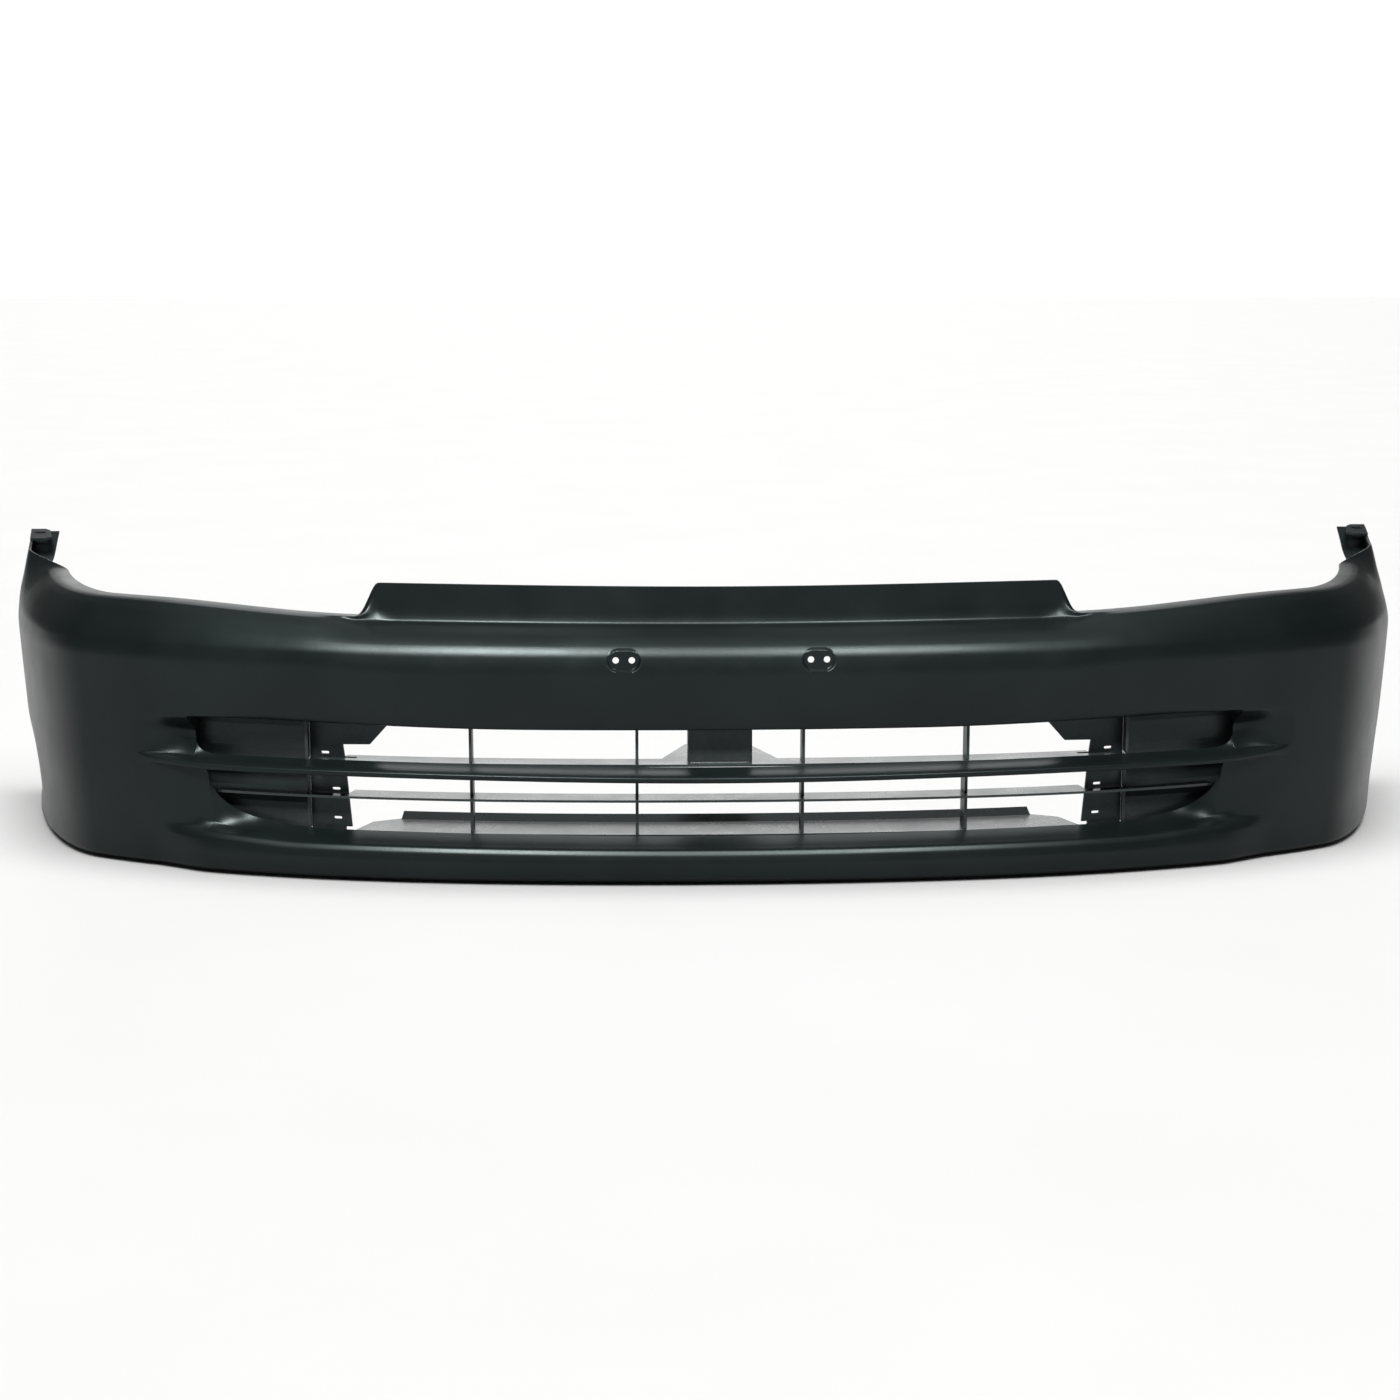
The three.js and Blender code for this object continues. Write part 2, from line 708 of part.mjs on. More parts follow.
// Hat-shaped post between the shelf and the inside of the nose, open to the rear.
function centreStay() {
  const inner = STAY_HALF - PLATE;
  const shape = outline([
    [-STAY_HALF, STAY_FRONT],
    [STAY_HALF, STAY_FRONT],
    [STAY_HALF, STAY_REAR],
    [inner, STAY_REAR],
    [inner, STAY_FRONT + PLATE],
    [-inner, STAY_FRONT + PLATE],
    [-inner, STAY_REAR],
    [-STAY_HALF, STAY_REAR],
  ]);
  const low = SHELF_Z + PLATE + GAP;
  return lyingPlate(shape, low, STAY_TOP - low);
}

// ---- side panels behind the openings, right-hand ones ----
// Flat panel that closes the inner end of the pocket.
function closingPanel() {
  const shape = outline(CLOSING_OUTLINE.map(([x, z]) => [x - CLOSING_JOINT, z]));
  for (const [x, z] of CLOSING_SLOTS) {
    shape.holes.push(slotHole(x - CLOSING_JOINT, z, ...PANEL_SLOT));
  }
  return standingPlate(shape, 0, PLATE);
}

function placeClosingPanel(mesh) {
  const belt = beltAt(stationAcross(CLOSING_JOINT));
  mesh.position.set(CLOSING_JOINT, yBehind(CLOSING_JOINT, CLOSING_DEPTH), 0);
  mesh.rotation.z = Math.atan2(-belt.inX, belt.inY);
}

function pocketPanel(end, line) {
  const steps = along(POCKET_START, end, POCKET_STEPS);
  return beltSweep(steps, () => sheetProfile(line, PLATE), squareToCar);
}

// Slotted tab on the fender horn, tilted with the horn's top edge.
function fenderTab() {
  const [inner, outer] = TAB_X;
  const length = Math.hypot(TAB_Y[1] - TAB_Y[0], TAB_Z[1] - TAB_Z[0]);
  const corner = TAB_CORNER;
  const shape = outline([
    [inner + corner - TAB_SKEW, 0],
    [outer - TAB_SKEW, 0],
    [outer, length],
    [inner + corner, length],
    [inner, length - corner],
    [inner - TAB_SKEW, corner],
  ]);
  shape.holes.push(slotHole((inner + outer) / 2 - 2, length * 0.6, 3, 4));
  return lyingPlate(shape, 0, PLATE);
}

function placeFenderTab(mesh) {
  mesh.position.set(0, TAB_Y[0], TAB_Z[0]);
  mesh.rotation.x = Math.atan2(TAB_Z[1] - TAB_Z[0], TAB_Y[1] - TAB_Y[0]);
}

// ---- assembly ----
const bumper = new THREE.Group();

function addPart(name, geometry, color, roughness, place = () => {}, parent = bumper) {
  const material = new THREE.MeshStandardMaterial({ color, roughness, metalness: 0 });
  const mesh = new THREE.Mesh(geometry, material);
  mesh.name = name;
  place(mesh);
  parent.add(mesh);
}

// The same right-hand piece on both sides, the left one by reflection.
function addPair(name, geometry, color, roughness, place = () => {}) {
  addPart(name + "_right", geometry, color, roughness, place);
  const left = new THREE.Group();
  left.scale.x = -1;
  bumper.add(left);
  addPart(name + "_left", geometry, color, roughness, place, left);
}

const CHARCOAL = 0x2b3133;
const GRILLE_GREY = 0x34393a;
const PANEL_BLACK = 0x1f2426;

addPart("cover_skin", coverSkin(), CHARCOAL, 0.45);
addPart("grille_upper_shelf", upperShelf(), GRILLE_GREY, 0.5);
addPart("grille_lower_shelf", lowerShelf(), GRILLE_GREY, 0.5);
addPart("grille_slat", slat(), GRILLE_GREY, 0.5);
addPart("centre_stay", centreStay(), PANEL_BLACK, 0.6);
for (let i = 0; i < 6; i++) {
  const x = (i - 2.5) * RIB_PITCH;
  addPart("grille_upper_rib_" + (i + 1), upperRib(x), GRILLE_GREY, 0.5);
  addPart("grille_lower_rib_" + (i + 1), lowerRib(x), GRILLE_GREY, 0.5);
}
addPair("closing_panel", closingPanel(), PANEL_BLACK, 0.6, placeClosingPanel);
addPair("upper_pocket_panel", pocketPanel(UPPER_POCKET_END, UPPER_POCKET_LINE), PANEL_BLACK, 0.55);
addPair("lower_pocket_panel", pocketPanel(LOWER_POCKET_END, LOWER_POCKET_LINE), PANEL_BLACK, 0.55);
addPair("fender_tab", fenderTab(), CHARCOAL, 0.45, placeFenderTab);

// The pieces are drawn with the nose at y = 0; the origin belongs under the middle of the box.
bumper.position.y = -new THREE.Box3().setFromObject(bumper).getCenter(new THREE.Vector3()).y;

export default bumper;
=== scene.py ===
"""Front bumper cover in satin charcoal plastic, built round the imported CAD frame.

Shapes are worked out in millimetres with the nose at y = 0, like the CAD part, and turned
into metres in the row frame by place(). The skin's belt line is a curve seen from above. At
each station along it stands a section, whose rows are (depth inward of the line, height).
"""

import math

import bmesh
import bpy
import numpy as np
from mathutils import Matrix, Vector


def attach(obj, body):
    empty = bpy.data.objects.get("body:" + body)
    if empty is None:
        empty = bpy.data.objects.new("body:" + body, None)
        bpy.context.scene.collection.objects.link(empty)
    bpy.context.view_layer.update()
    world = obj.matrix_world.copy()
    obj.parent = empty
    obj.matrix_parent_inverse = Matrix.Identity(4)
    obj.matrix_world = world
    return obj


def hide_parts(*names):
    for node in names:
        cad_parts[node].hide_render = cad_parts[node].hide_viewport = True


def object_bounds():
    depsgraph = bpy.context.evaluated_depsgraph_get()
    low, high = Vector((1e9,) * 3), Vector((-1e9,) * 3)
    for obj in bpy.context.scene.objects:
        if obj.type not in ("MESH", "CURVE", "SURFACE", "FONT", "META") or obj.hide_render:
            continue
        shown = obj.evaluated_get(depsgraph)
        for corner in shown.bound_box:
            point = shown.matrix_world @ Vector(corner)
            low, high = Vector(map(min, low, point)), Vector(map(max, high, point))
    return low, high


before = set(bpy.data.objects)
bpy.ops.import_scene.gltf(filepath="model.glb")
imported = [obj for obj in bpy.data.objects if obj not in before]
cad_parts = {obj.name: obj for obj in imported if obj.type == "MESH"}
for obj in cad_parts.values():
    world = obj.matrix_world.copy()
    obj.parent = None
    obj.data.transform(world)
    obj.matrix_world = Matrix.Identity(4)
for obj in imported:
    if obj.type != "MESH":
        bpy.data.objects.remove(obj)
CAD_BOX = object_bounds()
NOSE_Y = CAD_BOX[0][1]
MM = 0.001

# ---- driving dimensions, in millimetres, the same as the CAD part's ----
# A range is (start, end) of a smooth change, in x across the front and in y along the side.
WALL = 3.0
# Two cubic curves, nose to corner and corner to wheel arch, that share the point (660, 129).
BELT = [(0, 0), (288, 0), (505, 37), (660, 129), (728, 169.4), (789, 355), (816, 566)]

# Rows above the face: the flange between the lamps, the lamp shelf and the fender horn.
FLANGE_ROWS = [(52, 297), (50.5, 284), (49, 271), (46.5, 260), (33, 256), (19, 250.5),
               (9.2, 243), (3, 232), (0, 214)]
SHELF_ROWS = [(51, 267), (46, 266.8), (39, 266.3), (32, 265), (24, 260.5), (16, 253.5),
              (8, 245), (2, 234), (0, 219)]
HORN_ROWS = [(12.5, 297), (11, 290), (9.5, 282), (8, 274), (6.5, 266), (4.5, 257),
             (2.5, 247), (1, 235), (0, 219)]
FLANGE_TOP_ROWS = 3
HORN_RANGE = (365, 490)
HORN_DROP = 9
FLANGE_END = (353, 376)
FLANGE_BLEND = (333, 423)
SHELF_RISE = 9.5
SHELF_RETREAT = 5
CORNER_RANGE = (365, 615)
FLANGE_RISE = (2, 0, 345)
HORN_SLOPE = (490, 545)
HORN_HEIGHTS = (225, 275)

# The face above the upper opening.
FACE_HEIGHTS = (198, 181, 168)
FACE_DEPTHS = (2.5, 6.5, 10.5, 14.5)
SIDE_RANGE = (450, 600)

# Heights that change along the belt line: a base and rises as (amount, from, to).
UPPER_EDGE = (157, ((5, 200, 520),))
BAR_RIDGE = (110, ((3.5, 0, 400), (3.5, 525, 591)))
LIP_RIDGE = (35, ((1.5, 0, 400), (5, 430, 530)))
LIP_REAR = (44, ((2.5, 0, 400), (4, 400, 480)))

# The two openings: where they end, and the (length, power) of their rounded ends.
UPPER_END = 546
LOWER_END = 527.5
OPENING_ROUND = (38, 4)
LOWER_ROUND = (101, 2.8)

# The bar between the openings.
DISH_RANGE = (UPPER_END + 6, 606)
RETURN_REAR = 28
RETURN_RISE = 0.8
BAR_TIP = 604
BAR_FRONT = ((18.5, 5.2), (8.5, 2.6), (3.2, 0), (4.2, -5))  # (depth, rise above the ridge)
BAR_TOP = (7.5, 25)  # rise, depth
BAR_UNDER = (6.6, 16, 11)  # drop, depth in the middle, depth at the end
BAR_UNDER_RANGE = (450, LOWER_END)
BAR_SIDE = (430, 560)

# The lip under the lower opening.
LIP_FADE = (520, 592)
LIP_SPREAD = (572, 655)
LIP_DEPTH = 34
# Rows from the opening to the ridge: share of the way back to LIP_REAR, depth, height on the
# side panel, depth past the opening's end, rise past the opening's end.
LIP_TOP = ((0.6, 21, 84, 15, 12), (0.3, 13, 70, 14, 4.5), (0.05, 7, 56, 8.5, 1))
LIP_FILLET = (500, 555)
LIP_BROW = (3.4, 4, 43)  # depth, drop below the ridge, height on the side panel
LIP_FRONT = ((1.6, 23, 0), (4.2, 7.5, 1))  # depth, height, extra depth on the side panel
FOOT_DEPTH = (10.5, 7)  # under the lip, extra under the side panel
BOTTOM_RETURN = 26

# The side panel, its waist and the wheel arch.
SIDE_LEAN = 13.5
LEAN_POWER = 1.2
ARCH_INSET = 12
ARCH_RANGE = (365, 540)
WAIST_INSET = 12
WAIST_HEIGHTS = (8, 46, 54, 125)  # starts, full from, full to, ends
WAIST_RANGE = (250, 470)
BELT_HEIGHT = 219
WHEEL_Y = 776
WHEEL_Z = 86
WHEEL_ARCH_RADIUS = 307
ARCH_START = 1.4  # the station behind which columns are drawn towards the arch
ARCH_FLANGE = 17
HORN_FLANGE = 13
ARCH_FILLET = 2.2

# The number plate pads and their holes.
PAD_X, PAD_Z, PAD_DEPTH = 97, 230, 3
PAD_HALF_LENGTH, PAD_HALF_HEIGHT, PAD_BELT_DEPTH = 16, 10.5, 1.5
PAD_SLOPE_INSET, PAD_SLOPE = 1.0, 1.8  # where a pad's side starts inside its outline, its width
PLATE_HOLES = (89, 105)
PLATE_HOLE_RADIUS = 3.8
FRONT_FACE_Y = 30  # pads and holes touch only what lies in front of this

# Rows of the section: the last above each opening, and the lip's foot.
UPPER_GAP = 13
LOWER_GAP = 19
BOTTOM_ROW = 27

# ---- fineness of the skin's mesh, in millimetres or in numbers of cells ----
BELT_SAMPLES = 4001
# Corners that are tighter than the smooth curve through the rows: row -> fillet length.
TIGHT = {3: 2.4, 12: 2.4, 17: 1.6, 18: 1.8, 24: 3.0, 27: 3.0}
FILLET_SHARE = 0.4  # the most of a row's spacing that a fillet takes
BESIDE = 0.2  # a fillet's end knots are labelled this far from their row
# How finely the section is divided below each row.
FINE = {6: 13, 7: 19, 8: 5, 12: 4, 17: 3, 18: 3}
USUAL = 4
CORNER_STEPS = 2
GAP_STEPS = 1
PAD_ZONE = PAD_HALF_LENGTH + 3
FRONT_COLUMNS = (  # from x, to x, pitch
    (0, PAD_X - PAD_ZONE, 6),
    (PAD_X - PAD_ZONE, PAD_X + PAD_ZONE, 0.8),
    (PAD_X + PAD_ZONE, 330, 8),
    (330, 428, 2.2),
    (428, 485, 3.2),
    (UPPER_END + 2, BELT[3][0] - 1, 3.4),
)
LOWER_ROUND_FROM = 485
UPPER_ROUND_FROM = UPPER_END - 18
ROUND_COLUMNS = 15
LEAST_PITCH = 0.25
FLANK_COLUMNS = 90
FILLET_COLUMNS = 4
RETURN_COLUMNS = 5
RIM_BULGE = 0.55
RIM_KNOTS = (0.22, 0.78)  # where the rim's two middle lines lie across the wall
SHARP_ANGLE = 48
SAME_POINT = 0.02
WELD_DECIMALS = 2
AT_END = 0.01
TINY = 1e-12


# ---- small maths ----
def mix(a, b, t):
    return a + (b - a) * t


def ease(start, end, value):
    """Rises smoothly from 0 at start to 1 at end."""
    t = min(1.0, max(0.0, (value - start) / (end - start)))
    return t * t * (3 - 2 * t)


def round_end(start, end, power, x):
    """How far an opening is open at x: 1 up to start, then a superellipse down to 0 at end."""
    if x > end - AT_END:
        return 0.0
    t = max(0.0, (x - start) / (end - start))
    return (1 - t ** power) ** (1 / power)


def bezier(points, t):
    a, b, c, d = (np.array(p, float) for p in points)
    t = np.asarray(t, float)[..., None]
    u = 1 - t
    return a * u ** 3 + 3 * b * u * u * t + 3 * c * u * t * t + d * t ** 3


def bezier_slope(points, t):
    a, b, c, d = (np.array(p, float) for p in points)
    t = np.asarray(t, float)[..., None]
    u = 1 - t
    return 3 * ((b - a) * u * u + 2 * (c - b) * u * t + (d - c) * t * t)


NOSE, FLANK = BELT[:4], BELT[3:]
TABLE = np.linspace(0, 1, BELT_SAMPLES)
NOSE_X = bezier(NOSE, TABLE)[:, 0]
FLANK_Y = bezier(FLANK, TABLE)[:, 1]


# A station is 0 at the nose, 1 at the corner and 2 at the belt line's end, negative on the left.
def station_across(x):
    return np.sign(x) * np.interp(np.abs(x), NOSE_X, TABLE)


def station_back(y):
    return 1 + np.interp(y, FLANK_Y, TABLE)


def belt_at(station):
    """(points, inward normals, speed) of the belt line at signed stations."""
    station = np.asarray(station, float)
    side = np.where(station < 0, -1.0, 1.0)
    t = np.abs(station)
    nose = t <= 1
    at = np.where(nose, t, t - 1)
    point = np.where(nose[..., None], bezier(NOSE, at), bezier(FLANK, at))
    slope = np.where(nose[..., None], bezier_slope(NOSE, at), bezier_slope(FLANK, at))
    speed = np.linalg.norm(slope, axis=-1)
    tangent = slope / speed[..., None]
    point = np.stack([side * point[..., 0], point[..., 1]], -1)
    inward = np.stack([-side * tangent[..., 1], tangent[..., 0]], -1)
    return point, inward, speed


def surface(station, depth, z):
    point, inward, _ = belt_at(station)
    flat = point + inward * np.asarray(depth, float)[..., None]
    height = np.broadcast_to(np.asarray(z, float)[..., None], flat.shape[:-1] + (1,))
    return np.concatenate([flat, height], -1)


def arch_y(z):
    return WHEEL_Y - np.sqrt(WHEEL_ARCH_RADIUS ** 2 - (z - WHEEL_Z) ** 2)


def place(points):
    """Millimetres with the nose at y = 0 to metres in the row frame."""
    return np.asarray(points, float) * MM + np.array([0, NOSE_Y, 0])


# ---- section of the skin ----
def height_at(line, x):
    base, rises = line
    return base + sum(rise * ease(start, end, x) for rise, start, end in rises)


def side_depth(y, z):
    lean = max(0.0, (BELT_HEIGHT - z) / BELT_HEIGHT)
    low, full, high, top = WAIST_HEIGHTS
    waist = ease(low, full, z) * (1 - ease(high, top, z)) * ease(*WAIST_RANGE, y)
    arch = ARCH_INSET * lean * ease(*ARCH_RANGE, y)
    return SIDE_LEAN * lean ** LEAN_POWER + arch + WAIST_INSET * waist


def top_rows(x, y):
    corner = ease(*CORNER_RANGE, x)
    horn = ease(*HORN_RANGE, y)
    last = len(SHELF_ROWS) - 1
    rows = []
    for i, (shelf_depth, shelf_z) in enumerate(SHELF_ROWS):
        low = 1 - i / last
        flange = 1 - ease(*(FLANGE_END if i < FLANGE_TOP_ROWS else FLANGE_BLEND), x)
        climb = SHELF_RISE * corner * (1 - ease(FLANGE_TOP_ROWS, last, i))
        depth = mix(shelf_depth + SHELF_RETREAT * corner * low, FLANGE_ROWS[i][0], flange)
        flange_z = FLANGE_ROWS[i][1] + FLANGE_RISE[0] * ease(*FLANGE_RISE[1:], x) * low
        z = mix(shelf_z + climb, flange_z, flange)
        horn_z = HORN_ROWS[i][1] - HORN_DROP * (1 - ease(*HORN_SLOPE, y)) * low
        rows.append((mix(depth, HORN_ROWS[i][0], horn), mix(z, horn_z, horn)))
    return rows


def face_rows(x, y):
    side = ease(*SIDE_RANGE, x)
    heights = FACE_HEIGHTS + (height_at(UPPER_EDGE, x),)
    return [(mix(d, side_depth(y, z), side), z) for d, z in zip(FACE_DEPTHS, heights)]


def bar_rows(x, y):
    edge = height_at(UPPER_EDGE, x)
    ridge = height_at(BAR_RIDGE, x)
    side = ease(*BAR_SIDE, x)
    past = ease(*DISH_RANGE, x)
    opened = round_end(UPPER_END - OPENING_ROUND[0], UPPER_END, OPENING_ROUND[1], x)
    top_rise, top_depth = BAR_TOP
    drop, middle_depth, end_depth = BAR_UNDER
    middle = (edge + ridge + top_rise) / 2

    def plain(z):
        return side_depth(y, z) * side

    dish = mix(top_depth, plain(middle), past)
    under_depth = mix(middle_depth, end_depth, ease(*BAR_UNDER_RANGE, x))
    under = mix(under_depth, plain(ridge - drop), ease(LOWER_END, BAR_TIP, x))
    rows = [
        (mix(dish, RETURN_REAR, opened), mix(edge + RETURN_RISE, middle, 1 - opened)),
        (dish, mix(ridge + top_rise, middle, 1 - opened)),
    ]
    for depth, rise in BAR_FRONT:
        rows.append((mix(depth, plain(ridge + rise), past), ridge + rise))
    rows.append((under, ridge - drop))
    return rows


def lip_rows(x, y):
    opened = round_end(LOWER_END - LOWER_ROUND[0], LOWER_END, LOWER_ROUND[1], x)
    under, tip = bar_rows(x, y)[-1]
    rear = height_at(LIP_REAR, x)
    ridge = height_at(LIP_RIDGE, x)
    past = ease(*LIP_FADE, x)
    apart = ease(*LIP_SPREAD, x)
    fillet = ease(*LIP_FILLET, x)

    def row(depth, z, side_z, extra=0.0):
        height = mix(z, side_z, apart)
        return mix(depth, side_depth(y, height) + extra, past), height

    foot = mix(FOOT_DEPTH[0], side_depth(y, 0) + FOOT_DEPTH[1], past)
    brow_depth, brow_drop, brow_side = LIP_BROW
    rows = [(mix(under, LIP_DEPTH, opened), mix(tip, rear, opened))]
    for share, depth, side_z, closed_depth, rise in LIP_TOP:
        height = mix(ridge, rear, share) + rise * fillet
        rows.append(row(mix(depth, closed_depth, fillet), height, side_z))
    rows.append(row(brow_depth, ridge - brow_drop, brow_side))
    rows += [row(depth, z, z, extra) for depth, z, extra in LIP_FRONT]
    return rows + [(foot, 0), (foot + BOTTOM_RETURN, 0)]


def section(x, y):
    return np.array(top_rows(x, y) + face_rows(x, y) + bar_rows(x, y) + lip_rows(x, y))


def knots_of(rows):
    """The section's knots, with extra ones beside the tight corners, and each knot's row."""
    knots, labels = [], []
    for i, p in enumerate(rows):
        if i not in TIGHT:
            knots.append(p)
            labels.append(i)
            continue
        before, after = rows[i - 1] - p, rows[i + 1] - p
        reach_in = min(TIGHT[i], FILLET_SHARE * np.linalg.norm(before))
        reach_out = min(TIGHT[i], FILLET_SHARE * np.linalg.norm(after))
        near = p + before * (reach_in / max(np.linalg.norm(before), TINY))
        far = p + after * (reach_out / max(np.linalg.norm(after), TINY))
        knots += [near, (near + far) / 4 + p / 2, far]
        labels += [i - BESIDE, i, i + BESIDE]
    return np.array(knots), labels


def end_slope(h0, h1, d0, d1):
    """The end slope of a monotone cubic, from its two nearest gaps and their mean slopes."""
    slope = ((2 * h0 + h1) * d0 - h0 * d1) / (h0 + h1)
    slope = np.where(np.sign(slope) != np.sign(d0), 0, slope)
    too_steep = (np.sign(d0) != np.sign(d1)) & (np.abs(slope) > 3 * np.abs(d0))
    return np.where(too_steep, 3 * d0, slope)


def slopes_of(knots, gaps):
    """Slopes of a monotone cubic through the knots."""
    delta = np.diff(knots, axis=0) / gaps[:, None]
    slopes = np.zeros_like(knots)
    if len(knots) == 2:
        slopes[:] = delta[0]
        return slopes
    for i in range(1, len(knots) - 1):
        a, b = delta[i - 1], delta[i]
        w1, w2 = 2 * gaps[i] + gaps[i - 1], gaps[i] + 2 * gaps[i - 1]
        same = a * b > 0
        safe_a, safe_b = np.where(same, a, 1), np.where(same, b, 1)
        slopes[i] = np.where(same, (w1 + w2) / (w1 / safe_a + w2 / safe_b), 0)
    slopes[0] = end_slope(gaps[0], gaps[1], delta[0], delta[1])
    slopes[-1] = end_slope(gaps[-1], gaps[-2], delta[-1], delta[-2])
    return slopes


def smooth_run(knots, steps):
    """Points along a run of knots; coinciding knots give coinciding points."""
    kept = [0]
    for i in range(1, len(knots)):
        if np.linalg.norm(knots[i] - knots[kept[-1]]) > SAME_POINT:
            kept.append(i)
    unique = knots[kept]
    gaps = np.linalg.norm(np.diff(unique, axis=0), axis=1)
    slopes = slopes_of(unique, gaps)
    points = [knots[0]]
    for i in range(len(knots) - 1):
        j = max(k for k, value in enumerate(kept) if value <= i)
        real = i + 1 in kept
        for s in range(1, steps[i] + 1):
            if not real:
                points.append(unique[j])
                continue
            t = s / steps[i]
            h = gaps[j]
            points.append(
                unique[j] * (2 * t ** 3 - 3 * t ** 2 + 1)
                + slopes[j] * h * (t ** 3 - 2 * t ** 2 + t)
                + unique[j + 1] * (3 * t ** 2 - 2 * t ** 3)
                + slopes[j + 1] * h * (t ** 3 - t ** 2)
            )
    return np.array(points)


def steps_between(labels):
    steps = []
    for a, b in zip(labels, labels[1:]):
        if b - a < 2 * BESIDE:
            steps.append(CORNER_STEPS)
        else:
            steps.append(FINE.get(int(round(a)), USUAL))
    return steps


def dense_section(x, y):
    """Dense [depth, height] rows. The curve runs on smoothly past an opening that is shut."""
    knots, labels = knots_of(section(x, y))
    steps = steps_between(labels)
    cuts = [labels.index(UPPER_GAP), labels.index(LOWER_GAP)]
    closed = [np.linalg.norm(knots[c + 1] - knots[c]) < SAME_POINT for c in cuts]
    starts = [0, cuts[0] + 1, cuts[1] + 1]
    ends = [cuts[0], cuts[1], len(knots) - 1]
    groups = [[0]]
    for k, shut in enumerate(closed):
        if shut:
            groups[-1].append(k + 1)
        else:
            groups.append([k + 1])
    points = []
    for group in groups:
        first, last = starts[group[0]], ends[group[-1]]
        run_steps = steps[first:last]
        for k in group[:-1]:
            run_steps[ends[k] - first] = GAP_STEPS
        points.append(smooth_run(knots[first:last + 1], run_steps))
    return np.concatenate(points)


def dense_rows():
    """Numbers of the dense rows above each opening and at the lip's foot."""
    _, labels = knots_of(section(0, 0))
    steps = steps_between(labels)
    for gap in (UPPER_GAP, LOWER_GAP):
        steps[labels.index(gap)] = GAP_STEPS
    at = np.concatenate([[0], np.cumsum(steps)])
    return [int(at[labels.index(row)]) for row in (UPPER_GAP, LOWER_GAP, BOTTOM_ROW)]


# ---- columns of the skin ----
def spread(start, end, pitch):
    return list(np.linspace(start, end, max(2, int(round((end - start) / pitch)) + 1)))


def round_columns(first_x, end, length, power):
    """Columns that step evenly round the last part of an opening's rounded end."""
    start = end - length
    first = math.asin(((first_x - start) / length) ** (power / 2))
    angles = np.linspace(first, math.pi / 2, ROUND_COLUMNS)
    return [mix(start, end, math.sin(a) ** (2 / power)) for a in angles]


def right_stations():
    across = [x for zone in FRONT_COLUMNS for x in spread(*zone)]
    across += round_columns(LOWER_ROUND_FROM, LOWER_END, *LOWER_ROUND)
    across += round_columns(UPPER_ROUND_FROM, UPPER_END, *OPENING_ROUND)
    merged = []
    for x in sorted(across):
        if not merged or x - merged[-1] > LEAST_PITCH or x in (LOWER_END, UPPER_END):
            merged.append(x)
    flank = list(np.linspace(1, 2, FLANK_COLUMNS))
    return [float(station_across(x)) for x in merged] + flank


def skin_grid():
    """Points of the right half, [column, row, xyz], with the wheel-arch return at the end."""
    columns = []
    for station in right_stations():
        belt, _, _ = belt_at(station)
        rows = dense_section(abs(belt[0]), belt[1])
        reach = station_back(arch_y(rows[:, 1]))
        speed = belt_at(reach)[2]
        limit = reach - ARCH_FILLET / speed
        if station > ARCH_START:
            turned = mix(ARCH_START, limit, (station - ARCH_START) / (2 - ARCH_START))
        else:
            turned = np.full(len(rows), station)
        columns.append(surface(turned, rows[:, 0], rows[:, 1]))
    rows = dense_section(BELT[-1][0], BELT[-1][1])
    reach = station_back(arch_y(rows[:, 1]))
    speed = belt_at(reach)[2]
    horn = np.array([ease(*HORN_HEIGHTS, z) for z in rows[:, 1]])
    width = ARCH_FLANGE + HORN_FLANGE * horn
    for angle in np.linspace(0, math.pi / 2, FILLET_COLUMNS + 1)[1:]:
        turned = reach - ARCH_FILLET * (1 - math.sin(angle)) / speed
        depth = rows[:, 0] + ARCH_FILLET * (1 - math.cos(angle))
        columns.append(surface(turned, depth, rows[:, 1]))
    for k in np.linspace(0, 1, RETURN_COLUMNS + 1)[1:]:
        columns.append(surface(reach, rows[:, 0] + mix(ARCH_FILLET, width, k), rows[:, 1]))
    return np.array(columns)


def dent_pads(grid):
    """Sinks the number plate pads into the front face."""
    floor = float(belt_at(station_across(PAD_X))[0][1]) + PAD_BELT_DEPTH + PAD_DEPTH
    x, y, z = grid[..., 0], grid[..., 1], grid[..., 2]
    straight = PAD_HALF_LENGTH - PAD_HALF_HEIGHT
    away = np.hypot(np.maximum(np.abs(x - PAD_X) - straight, 0), z - PAD_Z) - PAD_HALF_HEIGHT
    t = np.clip((away + PAD_SLOPE_INSET) / PAD_SLOPE, 0, 1)
    sunk = 1 - t * t * (3 - 2 * t)
    sunk = np.where(y < FRONT_FACE_Y, sunk, 0)
    grid[..., 1] = y + (floor - y) * sunk
    return grid


def plate_hole_cells(grid, keep):
    """Leaves out the cells inside the plate holes and moves their rims onto true circles."""
    for hole in PLATE_HOLES:
        away = np.hypot(grid[..., 0] - hole, grid[..., 2] - PAD_Z)
        front = grid[..., 1] < FRONT_FACE_Y
        centre = (grid[:-1, :-1] + grid[1:, :-1] + grid[:-1, 1:] + grid[1:, 1:]) / 4
        inside = np.hypot(centre[..., 0] - hole, centre[..., 2] - PAD_Z) < PLATE_HOLE_RADIUS
        cut = inside & (centre[..., 1] < FRONT_FACE_Y)
        keep &= ~cut
        padded = np.pad(cut, 1)
        corners = [padded[:-1, :-1], padded[1:, :-1], padded[:-1, 1:], padded[1:, 1:]]
        touched = corners[0] | corners[1] | corners[2] | corners[3]
        whole = corners[0] & corners[1] & corners[2] & corners[3]
        rim = touched & ~whole & front
        scale = np.where(rim, PLATE_HOLE_RADIUS / np.maximum(away, TINY), 1)
        grid[..., 0] = hole + (grid[..., 0] - hole) * scale
        grid[..., 2] = PAD_Z + (grid[..., 2] - PAD_Z) * scale
    return grid, keep


